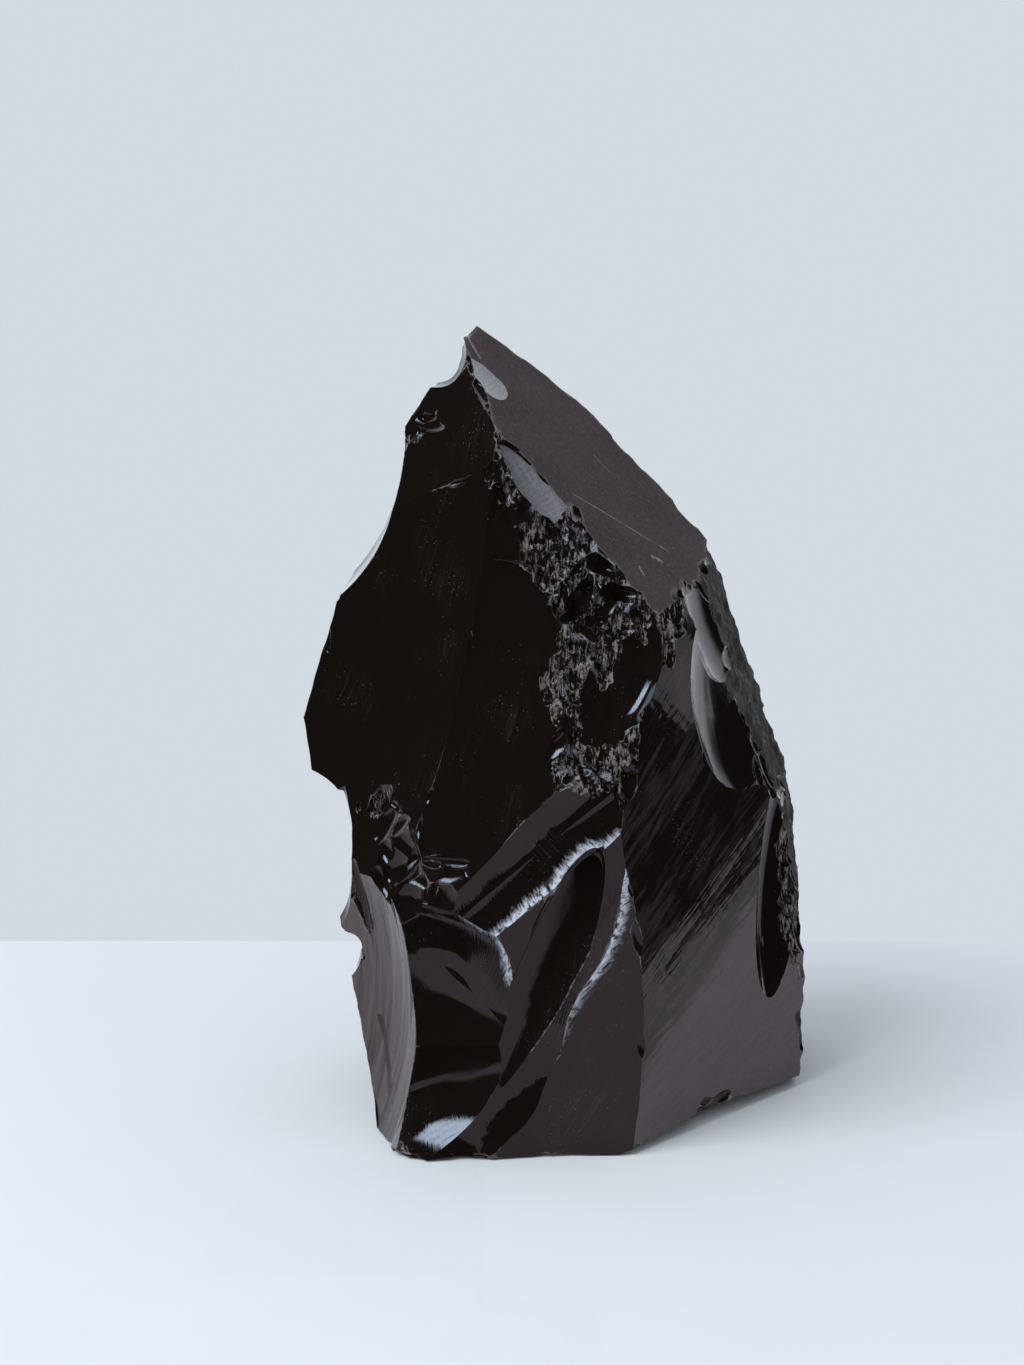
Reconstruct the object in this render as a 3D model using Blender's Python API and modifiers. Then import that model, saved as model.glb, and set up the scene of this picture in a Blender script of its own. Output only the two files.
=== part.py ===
"""Obsidian chunk: a hand-sized lump of black volcanic glass, broken from a rounded nodule.

The stock is a leaning ellipsoid, the nodule's weathered outside. Flat breaks (cleaves)
take it down to a rough obelisk, and shallow elliptical bowls (strikes) are the
conchoidal scars left by the flakes that came away.

Frame: metres, +Z up. The chunk stands on its flat base at z = 0, its glossy scars
turned to -Y and its weathered rim to +X, with the origin in the base.
"""
import math
import random

import bmesh
import bpy
from mathutils import Matrix, Vector

NAME = "obsidian_chunk"
MM = 0.001

# Middle of the chunk's outline, in the working coordinates used below (millimetres).
ORIGIN = (1.2, 5.9, 0.0)

# Nodule: an ellipsoid leaning to -X, in millimetres and degrees.
NODULE_CENTRE = (4.0, 1.0, 20.0)
NODULE_RADII = (48.0, 46.0, 120.0)
NODULE_LEAN = -7.0
NODULE_SEGMENTS = 36
NODULE_RINGS = 30

# Landmarks shared by several breaks, in millimetres.
SHOULDER = (28.0, 15.0, 90.4)
LEFT_CORNER = (-42.0, -5.0, 67.3)

# A facing is (azimuth, tilt) in degrees: azimuth 0 looks to -Y and 90 to +X,
# and a positive tilt looks up.
# Cleave: name, a point on the break, facing.
CLEAVES = (
    ("base", (4.0, 0.0, 0.0), (0.0, -90.0)),
    ("crown", (-14.7, 8.0, 132.6), (67.9, 41.9)),
    ("flank", (15.0, -27.0, 40.0), (47.0, 0.0)),
    ("rim_upper", SHOULDER, (78.0, 19.5)),
    ("rim_middle", (41.3, 9.0, 49.0), (80.0, 8.0)),
    ("rim_lower", (44.2, 5.5, 15.0), (93.0, 0.0)),
    ("back_left", (-14.7, 20.5, 75.0), (-152.0, 10.0)),
    ("back_right", (9.0, 29.5, 77.0), (163.0, 11.2)),
    ("left_upper", LEFT_CORNER, (-95.0, 17.0)),
    ("left_lower", LEFT_CORNER, (-96.0, -11.5)),
    ("left_tip", (-21.0, 4.0, 120.6), (-97.0, 32.7)),
    ("brow", (-20.4, -6.0, 115.7), (-46.0, 30.0)),
    ("hackle", (-1.8, -33.5, 60.8), (9.0, 17.0)),
    ("front", (4.0, -31.8, 0.0), (6.0, -2.0)),
)

# Strike: name, centre of the rim ellipse, facing, (half length, half width, depth) in
# millimetres, roll of the long axis from the horizontal in degrees.
STRIKES = (
    ("apex_notch", (-17.9, 3.0, 126.6), (-88.0, 30.0), (5.2, 13.0, 3.6), 90.0),
    ("sliver", (-31.3, 3.0, 97.0), (-85.0, 31.0), (11.7, 18.0, 2.4), 88.0),
    ("notch", (-37.8, -2.0, 46.5), (-97.0, -11.5), (13.5, 20.0, 9.0), 86.0),
    ("under_fin", (-34.4, -6.0, 29.0), (-92.0, -14.0), (4.4, 13.0, 3.2), 88.0),
    ("leaf", (-26.8, -27.5, 22.0), (-75.0, 0.0), (23.0, 14.0, 4.2), 80.0),
    ("cheek", (-26.4, -15.0, 89.4), (-32.0, 4.0), (48.0, 18.0, 3.8), 62.0),
    ("hollow", (-10.5, -25.7, 82.1), (-9.0, 9.0), (43.5, 13.5, 3.0), 73.0),
    ("thumbprint", (10.3, -25.9, 78.0), (4.0, 13.0), (11.0, 5.2, 1.5), 62.0),
    ("toe", (12.0, -29.0, 19.9), (4.5, 0.0), (23.3, 11.7, 1.0), 54.6),
    ("scoop", (-1.8, -32.4, 51.8), (-2.0, -3.0), (25.0, 7.2, 2.0), 41.0),
    ("apron", (0.4, -31.0, 26.9), (1.0, -1.0), (25.0, 13.5, 1.5), 60.0),
    ("spear", (-3.4, -29.2, 24.0), (-2.0, 5.5), (15.5, 2.8, 0.4), 70.0),
    ("cup", (-13.2, -31.6, 25.3), (-22.0, 2.0), (16.0, 13.0, 4.0), 125.0),
    ("heel", (-18.0, -30.5, 13.3), (-10.0, 1.0), (15.1, 9.3, 3.5), 26.7),
    ("fan", (-22.9, -29.5, 49.2), (-22.0, -14.0), (8.0, 5.0, 1.2), 10.0),
    ("blade", (22.9, -5.6, 88.5), (71.0, 9.0), (8.0, 6.5, 0.9), 98.0),
    ("spoon", (28.9, -10.9, 68.0), (52.0, 8.0), (13.5, 9.4, 1.9), 108.0),
    ("rib", (33.0, -3.0, 64.0), (74.0, 14.0), (11.0, 2.0, 0.9), 107.0),
    ("icicle", (37.2, -2.6, 32.0), (58.0, 5.0), (18.5, 5.2, 2.4), 84.0),
    ("icicle_side", (40.6, 1.4, 40.0), (72.0, 0.0), (14.0, 4.2, 1.6), 88.0),
    ("underside", (28.5, -9.5, 0.3), (48.0, -62.0), (24.0, 6.0, 1.0), 0.0),
    ("apex_flake", (-11.9, -5.3, 124.1), (67.9, 41.9), (4.6, 4.4, 0.25), 98.0),
    ("edge_flake", (-3.2, -17.9, 106.2), (25.0, 32.0), (5.2, 1.6, 0.4), -61.0),
    ("brow_flake", (-21.8, -5.0, 116.0), (-50.0, 24.0), (4.2, 2.2, 0.6), 60.0),
    ("fin_root", (-31.8, -16.5, 38.5), (-38.0, -8.0), (9.0, 1.8, 1.2), 97.0),
    ("fin", (-34.2, -13.5, 41.5), (-80.0, 5.0), (8.5, 3.4, 0.5), 95.0),
    ("cheek_chip", (-29.0, -16.6, 55.0), (-56.0, 26.0), (3.6, 1.9, 0.7), 40.0),
    ("ledge_upper", (-17.2, -30.1, 46.7), (-28.0, 30.0), (4.5, 2.5, 0.9), 20.0),
    ("ledge_lower", (-19.8, -30.4, 42.0), (-12.0, -20.0), (5.5, 2.6, 0.9), -25.0),
    ("base_chip", (26.7, -14.5, 1.5), (47.0, -30.0), (5.0, 3.5, 1.4), 0.0),
    ("back_upper", (-12.0, 18.3, 88.0), (-150.0, 13.0), (26.0, 15.0, 3.0), 72.0),
    ("back_middle", (17.0, 30.9, 56.0), (157.0, 6.0), (24.0, 15.0, 3.5), 110.0),
    ("back_lower", (-9.0, 32.4, 22.0), (-163.0, 3.0), (22.0, 15.0, 3.2), 25.0),
    ("back_side", (-33.5, 15.5, 42.0), (-126.0, -3.0), (20.0, 9.0, 2.6), 82.0),
)

# Each bowl runs on past its rim by REACH times its half length, then straight up.
REACH = 1.9
LID = 14.0
BOWL_RINGS = (0.35, 0.7, 1.0, 1.4, REACH)
BOWL_STEPS = 24

# Hackle: small random bites along and across the rough break, seeded so that they stay put.
HACKLE_SEED = 11
HACKLE_BITES = 24
HACKLE_CENTRE = (3.6, -25.4, 84.0)
HACKLE_ROLL = 89.0
HACKLE_SPREAD = (21.0, 4.6)
HACKLE_BITE = (4.2, 2.4, 0.8)
HACKLE_STEPS = 9

# Rim nibbles: bites up the weathered edge, from the low end to the shoulder.
NIBBLE_SEED = 5
NIBBLES = 6
NIBBLE_LOW = (44.0, 29.0, 25.0)
NIBBLE_HIGH = (30.5, 20.5, 86.0)
NIBBLE_BITE = (6.0, 3.2, 1.0)

GLASS_COLOUR = (0.012, 0.009, 0.010, 1.0)
GLASS_ROUGHNESS = 0.08


def clear_scene():
    for old in list(bpy.data.objects):
        bpy.data.objects.remove(old, do_unlink=True)


def new_collection(name):
    collection = bpy.data.collections.new(name)
    bpy.context.scene.collection.children.link(collection)
    return collection


def spot(point):
    """Working coordinates in millimetres to the part's frame in metres."""
    return (Vector(point) - Vector(ORIGIN)) * MM


def outward(facing):
    """Unit normal of a break with this (azimuth, tilt)."""
    azimuth, tilt = (math.radians(angle) for angle in facing)
    level = math.cos(tilt)
    return Vector((math.sin(azimuth) * level, -math.cos(azimuth) * level, math.sin(tilt)))


def bowl_axes(facing, roll):
    """Rotation whose X is the scar's long axis and whose Z looks out of the rock."""
    azimuth = math.radians(facing[0])
    normal = outward(facing)
    level = Vector((math.cos(azimuth), math.sin(azimuth), 0.0))
    uphill = normal.cross(level)
    turn = math.radians(roll)
    long_axis = level * math.cos(turn) + uphill * math.sin(turn)
    short_axis = normal.cross(long_axis)
    return Matrix((long_axis, short_axis, normal)).transposed().to_4x4()


def glass_material():
    material = bpy.data.materials.new("obsidian")
    material.use_nodes = True
    shader = material.node_tree.nodes["Principled BSDF"]
    shader.inputs["Base Color"].default_value = GLASS_COLOUR
    shader.inputs["Roughness"].default_value = GLASS_ROUGHNESS
    shader.inputs["Metallic"].default_value = 0.0
    return material


def cleave(mesh, point, facing):
    """Break away everything in front of a plane and close the face it leaves."""
    parts = mesh.verts[:] + mesh.edges[:] + mesh.faces[:]
    cut = bmesh.ops.bisect_plane(
        mesh,
        geom=parts,
        dist=1e-7,
        plane_co=spot(point),
        plane_no=outward(facing),
        clear_outer=True,
    )
    rim = [item for item in cut["geom_cut"] if isinstance(item, bmesh.types.BMEdge)]
    bmesh.ops.edgeloop_fill(mesh, edges=rim)


def cleaved_nodule():
    """The ellipsoid with all its flat breaks."""
    mesh = bmesh.new()
    bmesh.ops.create_uvsphere(mesh, u_segments=NODULE_SEGMENTS, v_segments=NODULE_RINGS, radius=MM)
    lean = Matrix.Rotation(math.radians(NODULE_LEAN), 4, "Y")
    stretch = Matrix.Diagonal((*NODULE_RADII, 1.0))
    place = Matrix.Translation(spot(NODULE_CENTRE))
    bmesh.ops.transform(mesh, matrix=place @ lean @ stretch, verts=mesh.verts)
    for _, point, facing in CLEAVES:
        cleave(mesh, point, facing)
    bmesh.ops.dissolve_degenerate(mesh, dist=2e-5, edges=mesh.edges)
    bmesh.ops.recalc_face_normals(mesh, faces=mesh.faces)
    data = bpy.data.meshes.new(NAME)
    mesh.to_mesh(data)
    mesh.free()
    return data


def bowl_profile(size):
    """Half section of the flake that came away, down its outer side."""
    length, _, depth = size
    points = [(0.0, LID), (REACH * length, LID)]
    for ring in reversed(BOWL_RINGS):
        points.append((ring * length, depth * (ring * ring - 1.0)))
    points.append((0.0, -depth))
    return points


def bowl_cutter(name, centre, facing, size, roll, steps, collection):
    """Turned bowl, squeezed to its width and laid on the rock."""
    profile = bowl_profile(size)
    data = bpy.data.meshes.new(name)
    corners = [(radius * MM, 0.0, height * MM) for radius, height in profile]
    data.from_pydata(corners, [(i, i + 1) for i in range(len(corners) - 1)], [])
    cutter = bpy.data.objects.new(name, data)
    collection.objects.link(cutter)
    squeeze = Matrix.Diagonal((1.0, size[1] / size[0], 1.0, 1.0))
    cutter.matrix_world = Matrix.Translation(spot(centre)) @ bowl_axes(facing, roll) @ squeeze
    screw = cutter.modifiers.new("turn", "SCREW")
    screw.axis = "Z"
    screw.steps = steps
    screw.render_steps = steps
    screw.use_merge_vertices = True
    screw.merge_threshold = 1e-6
    cutter.hide_render = True
    cutter.display_type = "WIRE"
    return cutter


def hackle_bites():
    """Random small strikes scattered over the rough break."""
    dice = random.Random(HACKLE_SEED)
    name, _, facing = next(item for item in CLEAVES if item[0] == "hackle")
    axes = bowl_axes(facing, HACKLE_ROLL).to_3x3()
    for index in range(HACKLE_BITES):
        along = (2.0 * (index + dice.random()) / HACKLE_BITES - 1.0) * HACKLE_SPREAD[0]
        across = dice.uniform(-1.0, 1.0) * HACKLE_SPREAD[1]
        centre = Vector(HACKLE_CENTRE) + axes @ Vector((along, across, 0.0))
        turned = (facing[0] + dice.uniform(-28.0, 28.0), facing[1] + dice.uniform(-20.0, 20.0))
        scale = dice.uniform(0.7, 1.3)
        size = tuple(value * scale for value in HACKLE_BITE)
        yield "%s_%02d" % (name, index), centre, turned, size, dice.uniform(0.0, 180.0)


def rim_nibbles():
    """Small strikes spaced up the weathered edge."""
    dice = random.Random(NIBBLE_SEED)
    low = Vector(NIBBLE_LOW)
    high = Vector(NIBBLE_HIGH)
    for index in range(NIBBLES):
        centre = low.lerp(high, (index + dice.uniform(0.2, 0.8)) / NIBBLES)
        facing = (dice.uniform(85.0, 125.0), dice.uniform(-15.0, 30.0))
        scale = dice.uniform(0.7, 1.4)
        size = tuple(value * scale for value in NIBBLE_BITE)
        yield "nibble_%02d" % index, centre, facing, size, dice.uniform(50.0, 130.0)


def build():
    clear_scene()
    parts = new_collection(NAME)
    cutters = new_collection("flakes")
    chunk = bpy.data.objects.new(NAME, cleaved_nodule())
    chunk.data.materials.append(glass_material())
    parts.objects.link(chunk)
    flakes = [(*strike, BOWL_STEPS) for strike in STRIKES]
    flakes += [(*bite, HACKLE_STEPS) for bite in hackle_bites()]
    flakes += [(*bite, HACKLE_STEPS) for bite in rim_nibbles()]
    for name, centre, facing, size, roll, steps in flakes:
        cutter = bowl_cutter(name, centre, facing, size, roll, steps, cutters)
        cut = chunk.modifiers.new(name, "BOOLEAN")
        cut.operation = "DIFFERENCE"
        cut.solver = "EXACT"
        cut.object = cutter


build()
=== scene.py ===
import math
import random
from collections import namedtuple

import bmesh
import bpy
import numpy as np
from mathutils import Matrix, Vector, kdtree


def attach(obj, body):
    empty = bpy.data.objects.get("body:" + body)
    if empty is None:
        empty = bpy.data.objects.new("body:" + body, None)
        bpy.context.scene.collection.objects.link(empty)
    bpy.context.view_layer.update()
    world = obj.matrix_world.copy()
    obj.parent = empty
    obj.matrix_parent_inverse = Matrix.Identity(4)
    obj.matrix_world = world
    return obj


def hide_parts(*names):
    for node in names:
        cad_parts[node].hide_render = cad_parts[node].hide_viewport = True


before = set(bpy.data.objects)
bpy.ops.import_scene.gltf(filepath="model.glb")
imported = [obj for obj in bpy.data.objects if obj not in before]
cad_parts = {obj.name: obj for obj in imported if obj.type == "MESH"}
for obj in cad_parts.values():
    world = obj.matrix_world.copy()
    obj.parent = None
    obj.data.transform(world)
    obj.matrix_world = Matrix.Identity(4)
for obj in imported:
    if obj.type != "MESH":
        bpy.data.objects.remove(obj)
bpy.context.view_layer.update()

bl_info = {
    "name": "Obsidian Chunk",
    "version": (1, 0, 0),
    "blender": (4, 5, 0),
    "location": "3D View > Sidebar > Obsidian",
    "description": "A knapped lump of volcanic glass on a pale table",
    "category": "Add Mesh",
}

NODE = "obsidian_chunk"
MM = 0.001

# --------------------------------------------------------------------------------------
# The stone's breaks, in working millimetres and degrees. A facing is (azimuth, tilt):
# azimuth 0 looks to -Y and 90 to +X, and a positive tilt looks up.
# --------------------------------------------------------------------------------------

# Where the part's frame has its zero.
ORIGIN = (1.2, 5.9, 0.0)

# The nodule before any break, and the mean radius that its lumps are set against.
NODULE_CENTRE = (4.0, 1.0, 20.0)
NODULE_RADII = (48.0, 46.0, 120.0)
NODULE_LEAN = -7.0
NODULE_MEAN = 45.0

# Landmarks that more than one break uses, and the blows that marks are placed from.
SHOULDER = (28.0, 15.0, 90.4)
LEFT_CORNER = (-42.0, -5.0, 67.3)
CROWN_FORCE = (-60.0, 60.0)
LEAF_FORCE = (90.0, 2.0)

# The kinds of surface, in the order of the chunk's materials.
GLASS, CROWN, HACKLE, CORTEX, FLANK, FLAKE, LEAF = range(7)

# size is (half length, half width, depth) of the rim ellipse, and for a flat break the
# stretch of stone it covers, with no depth. force is where the blow fell, along and
# across the scar from its centre: ripples run round that point and lances away from it.
# curl is (power, heading): how steeply the floor rises at the rim on that side. flute is
# the height of the soft grooves that run away from the blow.
FIELDS = "name at facing size roll finish force ripple curl flute"
Break = namedtuple("Break", FIELDS, defaults=((2.0, 0.0), 0.015))

CLEAVES = (
    Break("base", (4.0, 0.0, 0.0), (0.0, -90.0), (60.0, 60.0, 0.0), 0.0, CORTEX, (90.0, 0.0), 0.0),
    Break("crown", (-14.7, 8.0, 132.6), (67.9, 41.9), (90.0, 60.0, 0.0), 0.0, CROWN, CROWN_FORCE, 0.0),
    Break("flank", (15.0, -27.0, 40.0), (47.0, 0.0), (60.0, 75.0, 0.0), 0.0, FLANK, (-95.0, -75.0), 0.0),
    Break("rim_upper", SHOULDER, (78.0, 19.5), (60.0, 75.0, 0.0), 0.0, CORTEX, (0.0, 90.0), 0.0),
    Break("rim_middle", (41.3, 9.0, 49.0), (80.0, 8.0), (60.0, 60.0, 0.0), 0.0, CORTEX, (0.0, 90.0), 0.0),
    Break("rim_lower", (44.2, 5.5, 15.0), (93.0, 0.0), (60.0, 60.0, 0.0), 0.0, CORTEX, (0.0, 90.0), 0.0),
    Break("back_left", (-14.7, 20.5, 75.0), (-152.0, 10.0), (60.0, 90.0, 0.0), 0.0, GLASS, (0.0, 80.0),
          0.06),
    Break("back_right", (9.0, 29.5, 77.0), (163.0, 11.2), (60.0, 90.0, 0.0), 0.0, CORTEX, (0.0, 80.0), 0.0),
    Break("left_upper", LEFT_CORNER, (-95.0, 17.0), (50.0, 75.0, 0.0), 0.0, GLASS, (0.0, 80.0), 0.03),
    Break("left_lower", LEFT_CORNER, (-96.0, -11.5), (50.0, 75.0, 0.0), 0.0, GLASS, (0.0, 60.0), 0.04),
    Break("left_tip", (-21.0, 4.0, 120.6), (-97.0, 32.7), (50.0, 60.0, 0.0), 0.0, GLASS, (0.0, 60.0), 0.03),
    Break("brow", (-20.4, -6.0, 115.7), (-46.0, 30.0), (50.0, 50.0, 0.0), 0.0, GLASS, (0.0, 40.0), 0.04),
    Break("hackle", (-1.8, -33.5, 60.8), (9.0, 17.0), (45.0, 75.0, 0.0), 0.0, HACKLE, (0.0, 90.0), 0.0),
    Break("front", (4.0, -31.8, 0.0), (6.0, -2.0), (60.0, 70.0, 0.0), 0.0, GLASS, (10.0, 90.0), 0.006),
)

STRIKES = (
    Break("apex_notch", (-17.9, 3.0, 126.6), (-88.0, 30.0), (5.2, 13.0, 3.6), 90.0, GLASS, (9.0, 0.0), 0.01,
          (4.0, 180.0)),
    Break("sliver", (-31.3, 3.0, 97.0), (-85.0, 31.0), (11.7, 18.0, 2.4), 88.0, GLASS, (30.0, 0.0), 0.01),
    Break("notch", (-37.8, -2.0, 46.5), (-97.0, -11.5), (13.5, 20.0, 9.0), 86.0, GLASS, (30.0, 0.0), 0.01,
          (4.0, 0.0)),
    Break("under_fin", (-34.4, -6.0, 29.0), (-92.0, -14.0), (4.4, 13.0, 3.2), 88.0, GLASS, (30.0, 0.0), 0.02,
          (6.0, 0.0)),
    Break("leaf", (-26.8, -27.5, 22.0), (-75.0, 0.0), (23.0, 14.0, 4.2), 80.0, LEAF, LEAF_FORCE, 0.002,
          (2.0, 0.0), 0.055),
    Break("cheek", (-26.4, -15.0, 89.4), (-32.0, 4.0), (48.0, 18.0, 3.8), 62.0, GLASS, (60.0, 6.0), 0.012),
    Break("hollow", (-10.5, -25.7, 82.1), (-9.0, 9.0), (43.5, 13.5, 3.0), 73.0, GLASS, (52.0, -4.0), 0.02),
    Break("thumbprint", (10.3, -25.9, 78.0), (4.0, 13.0), (11.0, 5.2, 1.5), 62.0, GLASS, (14.0, 0.0), 0.006,
          (6.0, -90.0)),
    Break("toe", (12.0, -29.0, 19.9), (4.5, 0.0), (23.3, 11.7, 1.0), 54.6, GLASS, (50.0, 0.0), 0.004),
    Break("scoop", (-1.8, -32.4, 51.8), (-2.0, -3.0), (25.0, 7.2, 2.0), 41.0, GLASS, (0.0, 42.0), 0.006,
          (4.5, -90.0)),
    Break("apron", (0.4, -31.0, 26.9), (1.0, -1.0), (25.0, 13.5, 1.5), 60.0, GLASS, (34.0, 8.0), 0.004,
          (5.0, -90.0)),
    Break("spear", (-3.4, -29.2, 24.0), (-2.0, 5.5), (15.5, 2.8, 0.4), 70.0, GLASS, (20.0, 0.0), 0.004),
    Break("cup", (-13.2, -31.6, 25.3), (-22.0, 2.0), (16.0, 13.0, 4.0), 125.0, GLASS, (-6.0, 10.0), 0.01,
          (4.0, -70.0)),
    Break("heel", (-18.0, -30.5, 13.3), (-10.0, 1.0), (15.1, 9.3, 3.5), 26.7, GLASS, (0.0, 12.0), 0.01,
          (2.4, -27.0)),
    Break("fan", (-22.9, -29.5, 49.2), (-22.0, -14.0), (8.0, 5.0, 1.2), 10.0, GLASS, (0.0, 6.0), 0.02),
    Break("blade", (22.9, -5.6, 88.5), (71.0, 9.0), (8.0, 6.5, 0.9), 98.0, GLASS, (16.0, 0.0), 0.004),
    Break("spoon", (28.9, -10.9, 68.0), (52.0, 8.0), (13.5, 9.4, 1.9), 108.0, GLASS, (18.0, 0.0), 0.004,
          (3.5, 150.0)),
    Break("rib", (33.0, -3.0, 64.0), (74.0, 14.0), (11.0, 2.0, 0.9), 107.0, GLASS, (14.0, 0.0), 0.02),
    Break("icicle", (37.2, -2.6, 32.0), (58.0, 5.0), (18.5, 5.2, 2.4), 84.0, GLASS, (24.0, 0.0), 0.004),
    Break("icicle_side", (40.6, 1.4, 40.0), (72.0, 0.0), (14.0, 4.2, 1.6), 88.0, HACKLE, (24.0, 0.0), 0.0),
    Break("underside", (28.5, -9.5, 0.3), (48.0, -62.0), (24.0, 6.0, 1.0), 0.0, GLASS, (0.0, 12.0), 0.01),
    Break("apex_flake", (-11.9, -5.3, 124.1), (67.9, 41.9), (4.6, 4.4, 0.25), 98.0, FLAKE, (7.0, 0.0), 0.03),
    Break("edge_flake", (-3.2, -17.9, 106.2), (25.0, 32.0), (5.2, 1.3, 0.4), -61.0, FLAKE, (8.0, 0.0), 0.03),
    Break("brow_flake", (-21.8, -5.0, 116.0), (-50.0, 24.0), (4.2, 2.2, 0.6), 60.0, HACKLE, (12.0, 0.0),
          0.0),
    Break("fin_root", (-31.8, -16.5, 38.5), (-38.0, -8.0), (9.0, 1.8, 1.2), 97.0, GLASS, (12.0, 0.0), 0.01),
    Break("fin", (-34.2, -13.5, 41.5), (-80.0, 5.0), (8.5, 3.4, 0.5), 95.0, GLASS, (12.0, 0.0), 0.01),
    Break("cheek_chip", (-29.0, -16.6, 55.0), (-56.0, 26.0), (3.6, 1.9, 0.7), 40.0, HACKLE, (6.0, 0.0), 0.0),
    Break("ledge_upper", (-17.2, -30.1, 46.7), (-28.0, 30.0), (4.5, 2.5, 0.9), 20.0, GLASS, (6.0, 0.0),
          0.02),
    Break("ledge_lower", (-19.8, -30.4, 42.0), (-12.0, -20.0), (5.5, 2.6, 0.9), -25.0, GLASS, (7.0, 0.0),
          0.02),
    Break("base_chip", (26.7, -14.5, 1.5), (47.0, -30.0), (5.0, 3.5, 1.4), 0.0, GLASS, (0.0, 5.0), 0.02),
    Break("back_upper", (-12.0, 18.3, 88.0), (-150.0, 13.0), (26.0, 15.0, 3.0), 72.0, GLASS, (34.0, 0.0),
          0.05),
    Break("back_middle", (17.0, 30.9, 56.0), (157.0, 6.0), (24.0, 15.0, 3.5), 110.0, GLASS, (30.0, 0.0),
          0.05),
    Break("back_lower", (-9.0, 32.4, 22.0), (-163.0, 3.0), (22.0, 15.0, 3.2), 25.0, GLASS, (0.0, 22.0),
          0.05),
    Break("back_side", (-33.5, 15.5, 42.0), (-126.0, -3.0), (20.0, 9.0, 2.6), 82.0, GLASS, (28.0, 0.0),
          0.03),
)

# What a blow takes away: how far past its rim a bowl's cutter reaches, as a multiple of
# its size, how high above the rim a cutter stands, for flat breaks and for bowls, and how
# high the middle of the ball lies that holds a bowl's cutter.
REACH = 1.9
FLAT_LID = 130.0
BOWL_LID = 14.0
BALL_RISE = 0.4 * BOWL_LID

# A patch of small random bites: size is that of a single bite, and spread the half length
# and half width of the patch. Here are the splintered break, the crumbled corner where
# the scars meet, the shards beside it and the shattered foot.
Patch = namedtuple("Patch", "name seed count centre facing roll spread size finish")
PATCHES = (
    Patch("bite", 11, 24, (3.6, -25.4, 84.0), (9.0, 17.0), 89.0, (21.0, 4.6), (4.2, 2.4, 0.8), HACKLE),
    Patch("corner", 6, 9, (-27.5, -20.5, 51.5), (-46.0, 12.0), -60.0, (8.0, 3.5), (3.0, 1.7, 0.6), GLASS),
    Patch("splinter", 3, 11, (-22.5, -28.5, 48.5), (-22.0, 4.0), -42.0, (11.0, 3.5), (3.2, 1.8, 0.7), GLASS),
    Patch("flaw", 8, 7, (-24.0, -31.0, 6.0), (-40.0, 6.0), 85.0, (5.0, 0.8), (2.0, 1.2, 0.5), HACKLE),
)

# Where the blow of a small random bite fell, as a force is given above.
SMALL_FORCE = (8.0, 0.0)

# How far a random bite or chip turns and tips from its patch or its ridge, and the
# steepest that a chip may face, in degrees.
BITE_TURN = 28.0
BITE_TIP = 20.0
CHIP_TURN = 25.0
CHIP_TIP = 20.0
STEEPEST = 85.0

# Chips off the ridges: how many, their size, and how easily the first skin, a break that
# isn't listed and each kind of listed break shed them.
CHIP_SEED = 21
CHIPS = 260
CHIP = (2.6, 1.0, 0.34)
SKIN_WEAR = 0.3
USUAL_WEAR = 0.25
WEAR = {"crown": 1.6, "hackle": 0.6, "bite": 0.2, "brow": 1.4, "fan": 1.4, "splinter": 0.8, "base": 1.3,
        "rim": 1.2, "left": 0.8, "ledge": 1.0, "nibble": 0.5, "leaf": 0.12, "spoon": 0.3, "hollow": 0.8,
        "scoop": 0.06, "apron": 0.06, "toe": 0.06, "cup": 0.06, "spear": 0.02, "heel": 0.06}

# Bites up the weathered rim, from its low end to its high end.
NIBBLE_SEED = 5
NIBBLES = 6
NIBBLE_LOW = (44.0, 29.0, 25.0)
NIBBLE_HIGH = (30.5, 20.5, 86.0)
NIBBLE_BITE = (6.0, 3.2, 1.0)
NIBBLE_AZIMUTHS = (85.0, 125.0)
NIBBLE_TILTS = (-15.0, 30.0)
NIBBLE_ROLLS = (50.0, 130.0)

# Soft grooves and ripples of a scar: how many grooves, how wide in millimetres, and the
# ripples' turn in radians for each millimetre.
FLUTES = 5
FLUTE_WIDTHS = (3.0, 9.0)
RIPPLE_PITCH = 1.5

# Slow waves of each kind of skin: how many are laid over each other, then height and
# length in millimetres. For the cortex each height is a share of its full height.
WAVES = 7
SCAR_WAVES = (0.10, 22.0)
FLANK_WAVES = (0.02, 22.0)
CROWN_WAVES = (0.12, 26.0)
BASE_WAVES = (0.25, 9.0)
BASE_SINK = 0.15
CORTEX_WAVES = ((0.5, 9.0), (0.35, 3.2))

# Two layers of splinters in the hackle: cell in millimetres, skew and upright squeeze.
# The slope is that of the steepest ones.
SPLINTERS = ((2.2, 0.0, 0.35), (1.0, 0.3, 0.4))
SPLINTER_SLOPE = 0.9

# The mesh step is finer on rough and on small breaks, and coarser on those named here. A
# chunk with fewer faces than the last number has been cut away by mistake.
COARSE_BREAKS = ("base", "back")
COARSE_STEP = 1.5
FINE_STEP = 0.6
SMALL_BREAK = 7.0
FEWEST_FACES = 1000

# From what angle an edge is drawn sharp, within a rough break and between two breaks, and
# from what angle it counts as a ridge, in degrees. Then how closely ridges are measured,
# in metres.
SPLINTER_ANGLE = 32.0
CREASE_ANGLE = 6.0
RIDGE_ANGLE = 10.0
RIDGE_SPACING = 0.0004

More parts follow.
